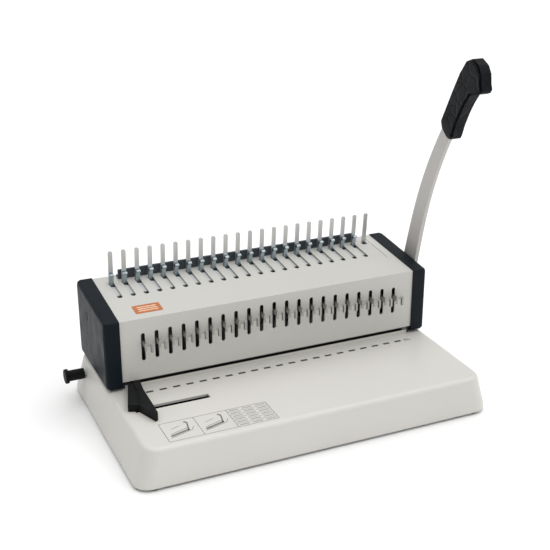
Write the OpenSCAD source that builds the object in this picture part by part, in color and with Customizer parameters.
// Manual comb binding machine: a punch with 21 dies, a row of comb hooks and one pull lever.
// The origin is on the table plane under the middle of the base. +X is to the user's right,
// -Y is towards the user and +Z is up. All sizes are in millimetres.

/* [Comb] */
// Number of punched holes, with one hook and one selector each
hole_count = 21; // [15:2:21]
// Distance from one hole to the next
pitch = 14.2875; // [13:0.0125:14.2875]

/* [Base] */
// Width of the base at its rim
base_w = 383; // [374:1:392]
// Depth of the base at its rim
base_d = 234; // [230:1:240]
// Height of the top of the base above the table
base_top = 43; // [42:0.5:44]
// How much narrower each side of the base is at the top
draft = 9; // [4:0.5:12]
// Wall thickness of the base
wall = 2.5; // [2:0.5:3]

/* [Housing] */
// Width of the sheet cover between the end caps
cover_w = 333; // [333:0.5:334]
// Front face of the cover, from the middle of the base
front_y = 6.5; // [6:0.25:7]
// Height of the fold between the front and the top
fold_z = 117.7; // [117:0.1:118.5]
// Slope of the cover's top, in degrees
slope = 4.98; // [4.5:0.01:5.5]
// Sheet thickness of the cover
sheet = 1.2; // [1:0.1:1.5]
// Thickness of each end cap
cap_t = 16.5; // [16:0.25:17]

/* [Hidden] */
$fn = 48;
EPS = 0.01;
STATIC_NODES = [
    "base_shell", "bottom_plate", "rubber_feet", "case_screws", "guide_channel",
    "die_plate", "die_spacers", "guide_plate", "die_bolts", "guide_rods", "return_springs",
    "left_side_plate", "right_side_plate", "shaft_bushes", "hook_rails",
    "top_cover", "rear_panel", "comb_stop", "left_end_cap", "right_end_cap", "comb_tines",
    "main_shaft", "punch_pinions", "hook_pinions", "lever_arm", "lever_hub", "lever_bolt",
    "lever_grip", "punch_bar", "punch_pins", "punch_racks",
    "hook_carriage", "comb_hooks", "hook_racks",
    "depth_knob", "depth_shaft", "depth_stop", "edge_guide", "chip_tray"
];
function selector_name(i) = str("selector_", i < 10 ? "0" : "", i);

steel = "silver";
ivory = "gainsboro";
navy = "darkslategray";

middle = (hole_count + 1) / 2;
stagger = 0.84;
function hole_x(i) = (i - middle) * pitch;
function tine_x(i) = hole_x(i) - pitch / 2;
function step_down(i) = stagger * abs(i - middle);

// Base and feet
rim_z = 3;
corner_r = 16;
top_r = 5;
foot_x = 174;
foot_y = 107;
foot_r = 7.5;
plate_z = 4.2;
ceiling_z = base_top - wall - 0.05;

// Punch block
throat_y0 = 9;
throat_y1 = 29.6;
bar_y1 = 30;
die_z = base_top;
gap_z0 = die_z + 3.5;
gap_z1 = gap_z0 + 3;
guide_top = gap_z1 + 5;
punch_y = 19;
rod_x = 153;
rod_y = 22;
rod_r = 3;
bolt_r = 1.6;
plate_x = 163.3;
bar_z0 = 86.5;
bar_h = 17;
side_x = 163.5;
side_t = 3;

// Main shaft and its gears
pivot_y = 57;
pivot_z = 72;
shaft_r = 7;
tooth_m = 2;
punch_teeth = 16;
hook_teeth = 19;
addendum = 1.8;
dedendum = 2.3;
play = 0.22;
gear_w = 8;
punch_gear_x = 153;
hook_gear_x = 140;

// The top of the housing in its own sloping frame: u runs back along it and w is normal to it
tine_u = 83.6;
hook_u = 81;
slot_u0 = 49;
slot_u1 = 83.2;
slot_r = 2.7;
rear_y = 105.6;
pivot_w = -(pivot_y - front_y) * sin(slope) - (fold_z - pivot_z) * cos(slope);
pivot_u = (pivot_y - front_y) * cos(slope) - (fold_z - pivot_z) * sin(slope);

// Lever: its middle line is a Bezier curve from the shaft up into the grip
arm_x = 184.5;
arm_t = 5;
side_reach = 208;
arm_line = [[pivot_y, pivot_z], [31.9, 164.4], [31.4, 210], [-36, 312]];
arm_half_low = 12.5;
arm_half_high = 7.6;
grip_x = 180;
grip_t = 15;

// Depth knob
knob_y = 84;
knob_z = 30;
knob_end = -187;
shaft_hole = 3.05;
cam_r = 5.4;
cam_shift = 2;

// Edge guide and its channel
channel_x0 = -168;
channel_x1 = -91;
channel_y0 = -42.7;
channel_y1 = -34.7;

// Chip tray
tray_y0 = 2;
tray_y1 = 46;
tray_x0 = -150;
tray_x1 = 187;

module on_top() {
    translate([0, front_y, fold_z]) rotate([slope, 0, 0]) children();
}

// Extrudes a profile drawn in the Y-Z plane along X, from x0 to x1
module along_x(x0, x1) {
    translate([x0, 0, 0]) rotate([90, 0, 90]) linear_extrude(x1 - x0) children();
}

module rod_x_axis(x0, x1, y, z, r) {
    translate([x0, y, z]) rotate([0, 90, 0]) cylinder(r = r, h = x1 - x0);
}

module rod_y_axis(x, y0, y1, z, r) {
    translate([x, y0, z]) rotate([-90, 0, 0]) cylinder(r = r, h = y1 - y0);
}

module block(x0, x1, y0, y1, z0, z1) {
    translate([x0, y0, z0]) cube([x1 - x0, y1 - y0, z1 - z0]);
}

module both_sides() {
    children();
    mirror([1, 0, 0]) children();
}

module four_corners(x, y) {
    for (sx = [-1, 1], sy = [-1, 1]) translate([sx * x, sy * y, 0]) children();
}

// ---- Base ----

module base_solid(inset, r_plan, r_edge) {
    hull() {
        four_corners(base_w / 2 - inset - r_plan, base_d / 2 - inset - r_plan)
            translate([0, 0, rim_z]) cylinder(r = r_plan, h = 4, $fn = 40);
        four_corners(base_w / 2 - draft - inset - r_plan, base_d / 2 - 1 - inset - r_plan)
            translate([0, 0, base_top - inset - r_edge])
                rotate_extrude($fn = 40) translate([r_plan - r_edge, 0]) circle(r = r_edge, $fn = 32);
    }
}

module screw_post() {
    translate([0, 0, plate_z + 1.2]) difference() {
        cylinder(r = 4, h = base_top - wall - plate_z - 1.2 + EPS);
        translate([0, 0, -1]) cylinder(r = 2, h = 12);
    }
}

module base_shell() {
    color(ivory) {
        difference() {
            base_solid(0, corner_r, top_r);
            difference() {
                base_solid(wall, corner_r - wall, top_r - 2);
                block(-200, 200, -200, 200, base_top - wall, base_top);
            }
            block(-base_w, base_w, -base_d, base_d, -1, rim_z);
            block(-base_w / 2 + 20, base_w / 2 - 20, -base_d / 2 + 20, base_d / 2 - 20, 0, rim_z + 5);
            // Drop slot for the chips, under the dies
            block(-150, 150, 12, 28, base_top - 8, base_top + 1);
            // Channel of the edge guide
            block(channel_x0, channel_x1, channel_y0, channel_y1, base_top - 8, base_top + 1);
            // Slot of the depth stop's tab
            block(-144, -128, 85, 98, base_top - 8, base_top + 1);
            // Mouth of the chip tray
            block(base_w / 2 - 20, base_w, tray_y0 - 4, tray_y1 + 4, 5.9, 35.5);
            rod_x_axis(-base_w, -base_w / 2 + 20, knob_y, knob_z, shaft_hole);
        }
        four_corners(foot_x, foot_y) screw_post();
    }
}

module round_plate(w, d, h, r) {
    block(-w / 2 + r, w / 2 - r, -d / 2, d / 2, 0, h);
    block(-w / 2, w / 2, -d / 2 + r, d / 2 - r, 0, h);
    four_corners(w / 2 - r, d / 2 - r) cylinder(r = r, h = h);
}

module bottom_plate() {
    color(steel) translate([0, 0, plate_z]) difference() {
        round_plate(base_w - 2 * wall - 4, base_d - 2 * wall - 4, 1.2, corner_r);
        four_corners(foot_x, foot_y) translate([0, 0, -1]) cylinder(r = screw_r + 0.2, h = 4);
    }
}

module rubber_feet() {
    color("dimgray") four_corners(foot_x, foot_y) difference() {
        cylinder(r = foot_r, h = plate_z);
        translate([0, 0, -1]) cylinder(r = 4.5, h = 3.2);
        translate([0, 0, 1]) cylinder(r = screw_r + 0.2, h = plate_z);
    }
}

screw_r = 1.9;

// A pan-head screw with its head under z = 0 and its shank upwards
module screw(head_h, shank) {
    difference() {
        translate([0, 0, -head_h]) cylinder(r = 3, h = head_h);
        for (a = [0, 90]) rotate(a) block(-2, 2, -0.4, 0.4, -head_h - 1, -head_h + 0.7);
    }
    cylinder(r = screw_r, h = shank);
}

// Screws of the comb stop, on the sloping top
module stop_places() {
    on_top() for (x = [-120, 0, 120]) translate([x, 95.5, 1.6]) children();
}

module case_screws() {
    color(steel) {
        four_corners(foot_x, foot_y) translate([0, 0, 2.2]) screw(1.5, 12);
        stop_places() rotate([180, 0, 0]) screw(1.4, 4);
    }
}

module guide_channel() {
    color("black") difference() {
        block(channel_x0 - 6, channel_x1 + 4, channel_y0 - 7, channel_y1 + 7, 33, ceiling_z);
        block(channel_x0 - 4, channel_x1 + 2, channel_y0 - 5, channel_y1 + 5, 35, base_top);
    }
}

// ---- Punch block ----

module die_holes(z0, z1) {
    for (i = [1:hole_count])
        block(hole_x(i) - 4.15, hole_x(i) + 4.15, punch_y - 1.65, punch_y + 1.65, z0, z1);
}

module bolt_places() {
    for (sx = [-1, 1], y = [13, 26]) translate([sx * 160.4, y, 0]) children();
}

module die_plate() {
    color("slategray") difference() {
        block(-plate_x, plate_x, throat_y0, throat_y1, die_z, gap_z0);
        die_holes(die_z - 1, gap_z0 + 1);
        bolt_places() cylinder(r = bolt_r, h = 100);
    }
}

module die_spacers() {
    color(steel) both_sides() difference() {
        block(157.5, plate_x, throat_y0, throat_y1, gap_z0, gap_z1);
        bolt_places() cylinder(r = bolt_r, h = 100);
    }
}

module guide_plate() {
    color("slategray") difference() {
        block(-plate_x, plate_x, throat_y0, throat_y1, gap_z1, guide_top);
        die_holes(gap_z1 - 1, guide_top + 1);
        bolt_places() cylinder(r = bolt_r, h = 100);
        both_sides() translate([rod_x, rod_y, 0]) cylinder(r = rod_r, h = 100);
    }
}

module die_bolts() {
    color(steel) bolt_places() {
        translate([0, 0, die_z]) cylinder(r = bolt_r, h = guide_top - die_z);
        translate([0, 0, guide_top]) cylinder(r = bolt_r + 1.1, h = 2.4);
    }
}

module guide_rods() {
    color(steel) both_sides() translate([rod_x, rod_y, gap_z1]) cylinder(r = rod_r, h = 60);
}

// Coil springs on the rods: a short arc, twisted upwards, leaves a wire about 1 mm thick
spring_turns = 6;
arc = 36;

module return_springs() {
    color(steel) both_sides() translate([rod_x, rod_y, guide_top])
        linear_extrude(bar_z0 - guide_top, twist = -360 * spring_turns, slices = 10 * spring_turns,
                       segments = 10)
            polygon(concat([for (a = [-arc:18:arc]) 3.85 * [cos(a), sin(a)]],
                           [for (a = [arc:-18:-arc]) 4.95 * [cos(a), sin(a)]]));
}

module punch_bar() {
    color("lightsteelblue") difference() {
        block(-160, 160, 13, bar_y1, bar_z0, bar_z0 + bar_h);
        both_sides() translate([rod_x, rod_y, 0]) cylinder(r = rod_r + 0.05, h = 200);
        for (i = [1:hole_count]) selector_stem(i, 0.2, 12, 31);
    }
}

module punch_pins() {
    color(steel) for (i = [1:hole_count])
        block(hole_x(i) - 4, hole_x(i) + 4, punch_y - 1.5, punch_y + 1.5,
              gap_z1 + 8.6 - step_down(i), bar_z0);
}

// ---- Selectors: one tab for each die, in the slots of the cover's front ----

slot_top = 110.2;
slot_len = 30.2;
front_slot_r = 2.1;
stem_h = 5;
function stem_z(i) = slot_top - step_down(i) - 13;

module selector_stem(i, gap, y0, y1) {
    block(hole_x(i) - 1.1 - gap, hole_x(i) + 1.1 + gap, y0, y1,
          stem_z(i) - gap, stem_z(i) + stem_h + gap);
}

// A pressed tab: the stem, a shoulder that turns down in front of the cover, and two prongs
module selector(i) {
    color(steel) {
        selector_stem(i, 0, -1.4, 28);
        translate([hole_x(i), 0, stem_z(i)]) {
            block(-1.1, 7.4, -2.8, -1.4, 1.6, stem_h);
            block(-1.1, 1.1, -2.8, -1.4, -3, 1.6);
            block(5, 7.4, -4.4, -1.4, -5, 4.2);
        }
    }
}

// ---- Gears and racks ----

pressure = 20;
function inv(a) = tan(a) * 180 / PI - a;

function half_tooth(teeth, r) =
    let (rp = teeth * tooth_m / 2, rb = rp * cos(pressure), a = r <= rb ? 0 : acos(rb / r))
    90 / teeth - play / rp * 90 / PI + inv(pressure) - inv(a);

function gear_points(teeth) =
    let (rp = teeth * tooth_m / 2, rb = rp * cos(pressure), ra = rp + addendum,
         radii = [rp - dedendum, for (k = [0:5]) rb + (ra - rb) * k / 5])
    [for (t = [0:teeth - 1]) each concat(
        [for (r = radii) r * [cos(t * 360 / teeth - half_tooth(teeth, r)),
                              sin(t * 360 / teeth - half_tooth(teeth, r))]],
        [for (k = [len(radii) - 1:-1:0]) let (r = radii[k])
            r * [cos(t * 360 / teeth + half_tooth(teeth, r)),
                 sin(t * 360 / teeth + half_tooth(teeth, r))]])];

module pinion(teeth, x, facing) {
    along_x(x - gear_w / 2, x + gear_w / 2) translate([pivot_y, pivot_z]) difference() {
        rotate(facing + 180 / teeth) polygon(gear_points(teeth));
        circle(r = shaft_r);
    }
}

// Rack teeth along +x, pointing to +y, with one tooth centred on x = 0 and the pitch line at y = 0
module rack_teeth(from, to, back) {
    step = PI * tooth_m;
    half = step / 4 - play;
    low = half + dedendum * tan(pressure);
    high = half - addendum * tan(pressure);
    translate([from, -back]) square([to - from, back - dedendum]);
    for (k = [ceil((from + low) / step):floor((to - low) / step)]) translate([k * step, 0])
        polygon([[-low, -dedendum - EPS], [low, -dedendum - EPS], [high, addendum], [-high, addendum]]);
}

module punch_pinions() {
    color("gray") both_sides() pinion(punch_teeth, punch_gear_x, 180);
}

module hook_pinions() {
    color("gray") both_sides() pinion(hook_teeth, hook_gear_x, 90 + slope);
}

module punch_racks() {
    pitch_y = pivot_y - punch_teeth * tooth_m / 2;
    color("gray") both_sides() along_x(punch_gear_x - 5, punch_gear_x + 5)
        translate([pitch_y, pivot_z]) rotate(-90) rack_teeth(-26, 10, pitch_y - bar_y1);
}

module hook_racks() {
    pitch_w = pivot_w + hook_teeth * tooth_m / 2;
    color("gray") on_top() both_sides() along_x(hook_gear_x - 4, hook_gear_x + 4)
        translate([pivot_u, pitch_w]) mirror([0, 1])
            rack_teeth(43 - pivot_u, 73.5 - pivot_u, carriage_w0 - pitch_w);
}

module main_shaft() {
    color(steel) difference() {
        rod_x_axis(-168, 199, pivot_y, pivot_z, shaft_r);
        rod_x_axis(175, 200, pivot_y, pivot_z, 3.5);
    }
}

// ---- Frame of the housing ----

function top_z(y) = fold_z + (y - front_y) * tan(slope);

module side_plate() {
    difference() {
        along_x(side_x, side_x + side_t) polygon([
            [throat_y0, base_top], [rear_y - 0.2, base_top], [rear_y - 0.2, top_z(rear_y) - 1.5],
            [throat_y0, top_z(throat_y0) - 1.5]]);
        rod_x_axis(side_x - 1, side_x + side_t + 1, pivot_y, pivot_z, 10);
    }
}

module left_side_plate() { color("gray") mirror([1, 0, 0]) side_plate(); }

module right_side_plate() { color("gray") side_plate(); }

module shaft_bushes() {
    color("goldenrod") both_sides() difference() {
        union() {
            rod_x_axis(side_x, side_x + side_t, pivot_y, pivot_z, 10);
            rod_x_axis(side_x - 1.5, side_x, pivot_y, pivot_z, 12);
        }
        rod_x_axis(side_x - 3, side_x + side_t + 1, pivot_y, pivot_z, shaft_r + 0.05);
    }
}

module hook_rails() {
    color("gray") on_top() both_sides() difference() {
        block(159, side_x, 31, 80, carriage_w0 - 1.7, -1.3);
        block(150, side_x - 0.3, 30, 81, carriage_w0 - 0.2, carriage_w1 + 0.2);
    }
}

// ---- Casing ----

front_foot = 51.5;

module slot_along(len, r) {
    translate([-r, 0, -5]) cube([2 * r, len, 10]);
    for (v = [0, len]) translate([0, v, -5]) cylinder(r = r, h = 10, $fn = 24);
}

module top_cover() {
    t = sheet / cos(slope);
    color(ivory) difference() {
        along_x(-cover_w / 2, cover_w / 2) polygon([
            [front_y, front_foot], [front_y, fold_z], [rear_y, top_z(rear_y)], [rear_y, top_z(rear_y) - t],
            [front_y + sheet, top_z(front_y + sheet) - t], [front_y + sheet, front_foot]]);
        for (i = [1:hole_count]) {
            translate([hole_x(i), front_y, slot_top - step_down(i) - front_slot_r]) rotate([-90, 0, 0])
                slot_along(slot_len - 2 * front_slot_r, front_slot_r);
            on_top() translate([tine_x(i), slot_u0 + slot_r, 0])
                slot_along(slot_u1 - slot_u0 - slot_r, slot_r);
        }
        // Mouth of each tine
        for (i = [1:hole_count + 1]) on_top()
            block(tine_x(i) - 2.9, tine_x(i) + 2.9, hook_u - 1.5, tine_u + 1.8, -3, 3);
        // Parting line beside the right end cap
        on_top() block(156.6, 157.2, 41, 101, -3, 3);
        stop_places() cylinder(r = screw_r + 0.05, h = 10, center = true);
    }
}

module rear_panel() {
    color(ivory) block(-cover_w / 2, cover_w / 2, rear_y + 0.1, rear_y + 1.3, base_top, top_z(rear_y));
}

// Dark angle behind the tines that keeps the comb upright
module comb_stop() {
    color(navy) difference() {
        on_top() {
            block(-stop_x, stop_x, 90, 92.4, 0, 10.6);
            block(-stop_x, stop_x, 90, 99, 0, 1.6);
        }
        stop_places() cylinder(r = screw_r + 0.05, h = 10, center = true);
    }
}

cap_y0 = 5;
cap_y1 = 107.8;
cap_z0 = base_top + 2.4;
stop_x = 140.5;

module cap_outline(inset) {
    polygon([[cap_y0 + inset, cap_z0 + inset], [cap_y1 - inset, cap_z0 + inset],
             [cap_y1 - inset, top_z(cap_y1) + 1.2 - inset], [cap_y0 + inset, top_z(cap_y0) + 1.2 - inset]]);
}

module end_cap() {
    inner = cover_w / 2;
    difference() {
        hull() {
            along_x(inner, inner + cap_t - 4) offset(r = 2.5, $fn = 32) cap_outline(2.5);
            along_x(inner, inner + cap_t - 1) offset(r = 3, $fn = 32) cap_outline(4);
            along_x(inner, inner + cap_t) offset(r = 3, $fn = 32) cap_outline(6);
        }
        along_x(inner - 1, inner + cap_t - 2.5) cap_outline(5);
    }
}

module left_end_cap() {
    color(navy) mirror([1, 0, 0]) difference() {
        end_cap();
        block(cover_w / 2 + cap_t - 1, 200, 67, 69, 98, 107);
        block(cover_w / 2 + cap_t - 6, 200, 46, 50, cap_z0 - 1, cap_z0 + 4);
    }
}

module right_end_cap() {
    color(navy) difference() {
        end_cap();
        rod_x_axis(cover_w / 2, 200, pivot_y, pivot_z, shaft_r + 1.5);
    }
}

// ---- Comb opener ----

carriage_w0 = -3.6;
carriage_w1 = -2;

module comb_tines() {
    color(steel) on_top() {
        block(-plate_x, plate_x, tine_u + 0.3, tine_u + 3.6, -2.8, -1.3);
        for (i = [1:hole_count + 1]) translate([tine_x(i), 0, 0]) {
            block(-2.4, 2.4, tine_u, tine_u + 1.5, -2.8, 34.3);
            rod_y_axis(0, tine_u, tine_u + 1.5, 34.3, 2.4);
        }
    }
}

module hook_carriage() {
    color(steel) on_top() block(-163, 163, 58, 78, carriage_w0, carriage_w1);
}

// Each hook hangs under the carriage and comes up through its slot, in front of its tine
module comb_hooks() {
    color("lightsteelblue") on_top() for (i = [1:hole_count]) translate([tine_x(i) - 2.3, 0, 0])
        rotate([90, 0, 90]) linear_extrude(4.6) polygon([
            [hook_u - 7, carriage_w0], [hook_u - 7, carriage_w0 - 1.6], [hook_u + 2, carriage_w0 - 1.6],
            [hook_u + 2, 9], [hook_u + 1.2, 11.5], [hook_u - 0.6, 12.8], [hook_u - 2.6, 12.4],
            [hook_u - 3.4, 10.8], [hook_u - 1.6, 10.4], [hook_u - 0.2, 8.5], [hook_u, carriage_w0]]);
}

// ---- Lever ----

function bend(t) = pow(1 - t, 3) * arm_line[0] + 3 * t * pow(1 - t, 2) * arm_line[1]
    + 3 * t * t * (1 - t) * arm_line[2] + pow(t, 3) * arm_line[3];
function across(t) = let (d = bend(t + 0.01) - bend(t - 0.01)) [d[1], -d[0]] / norm(d);
function arm_edge(t, side) = bend(t) + side * across(t) * (arm_half_low + (arm_half_high - arm_half_low) * t);
arm_steps = 24;

module arm_outline() {
    polygon(concat([for (k = [0:arm_steps]) arm_edge(k / arm_steps, 1)],
                   [for (k = [arm_steps:-1:0]) arm_edge(k / arm_steps, -1)]));
}

module lever_arm() {
    color("lightgray") difference() {
        union() {
            along_x(arm_x, arm_x + arm_t) arm_outline();
            rod_x_axis(arm_x, arm_x + arm_t, pivot_y, pivot_z, 16);
        }
        rod_x_axis(arm_x - 1, arm_x + arm_t + 1, pivot_y, pivot_z, shaft_r);
    }
}

module lever_hub() {
    color(steel) difference() {
        rod_x_axis(arm_x + arm_t, 199, pivot_y, pivot_z, 13);
        rod_x_axis(arm_x, 200, pivot_y, pivot_z, shaft_r);
    }
}

module lever_bolt() {
    color(steel) {
        rod_x_axis(176, 199, pivot_y, pivot_z, 3.5);
        rod_x_axis(199, 201, pivot_y, pivot_z, 11);
        translate([201, pivot_y, pivot_z]) rotate([0, 90, 0])
            cylinder(r = 8, h = side_reach - 201, $fn = 6);
    }
}

module grip_outline() {
    offset(r = 4, $fn = 32) offset(delta = -4) polygon([
        [-8, 288], [-26, 323], [-37, 343], [-46, 355], [-57, 359.5], [-67, 355], [-72.5, 347],
        [-74, 337], [-77, 329.5], [-69, 326.5], [-57, 323.5], [-49, 313], [-41, 300], [-34, 286],
        [-29, 272], [-21, 272], [-11, 280]]);
}

// The grip's body, with its long edges stepped in so that it feels round
module grip_body() {
    along_x(grip_x + 2, grip_x + grip_t - 2) grip_outline();
    along_x(grip_x, grip_x + grip_t) offset(delta = -2) grip_outline();
}

module lever_grip() {
    color(navy) difference() {
        grip_body();
        along_x(arm_x, arm_x + arm_t) arm_outline();
    }
}

// ---- Depth knob and stop ----

module depth_knob() {
    color("black") {
        rod_x_axis(-204, knob_end, knob_y, knob_z, 5.8);
        rod_x_axis(-side_reach, -204, knob_y, knob_z, 7.8);
    }
}

module depth_shaft() {
    color(steel) {
        rod_x_axis(knob_end, -127, knob_y, knob_z, 3);
        rod_x_axis(-142, -130, knob_y + cam_shift, knob_z, cam_r);
    }
}

module depth_stop() {
    color(steel) {
        block(-146, 146, 27, 38, gap_z0 + 0.4, gap_z1 - 0.4);
        block(-146, 146, 35, 38, base_top + 0.4, gap_z1 - 0.4);
        block(-144, -128, 35, 95, base_top + 0.4, base_top + 2.2);
        block(-142, -130, 92, 95, 25, base_top + 2.2);
    }
}

// ---- Edge guide and chip tray ----

guide_h = 8.6;

module guide_outline() {
    polygon([[-161.5, 4.5], [-149.2, 4.5], [-151.5, -15], [-152.2, -50], [-152.8, -65], [-155.7, -67],
             [-164.9, -41.8], [-174.4, -38]]);
}

module edge_guide() {
    z0 = base_top + 0.1;
    color("black") {
        translate([0, 0, z0]) difference() {
            linear_extrude(guide_h) guide_outline();
            // The left part is lower than the fence
            translate([0, 0, guide_h - 1]) linear_extrude(2) polygon([
                [-200, 10], [-156, 10], [-158, -15], [-162.5, -42], [-200, -42]]);
        }
        block(-167, -156, channel_y0 + 0.4, channel_y1 - 0.4, base_top - wall - 0.3, z0 + EPS);
        block(-170, -153.5, channel_y0 - 4, channel_y1 + 4, 37.2, base_top - wall - 0.3 + EPS);
    }
}

module chip_tray() {
    color("dimgray") {
        difference() {
            block(tray_x0, tray_x1, tray_y0, tray_y1, 6.2, 30);
            block(tray_x0 + 1.6, tray_x1 - 3, tray_y0 + 1.6, tray_y1 - 1.6, 7.8, 31);
        }
        block(tray_x1 - 3, tray_x1, tray_y0 - 3.5, tray_y1 + 3.5, 7, 35);
        block(tray_x1 - EPS, tray_x1 + 8, 14, 34, 25, 28);
    }
}

base_shell();
bottom_plate();
rubber_feet();
case_screws();
guide_channel();
die_plate();
die_spacers();
guide_plate();
die_bolts();
guide_rods();
return_springs();
left_side_plate();
right_side_plate();
shaft_bushes();
hook_rails();
top_cover();
rear_panel();
comb_stop();
left_end_cap();
right_end_cap();
comb_tines();
main_shaft();
punch_pinions();
hook_pinions();
lever_arm();
lever_hub();
lever_bolt();
lever_grip();
punch_bar();
punch_pins();
punch_racks();
hook_carriage();
comb_hooks();
hook_racks();
depth_knob();
depth_shaft();
depth_stop();
edge_guide();
chip_tray();
for (i = [1:hole_count]) selector(i);
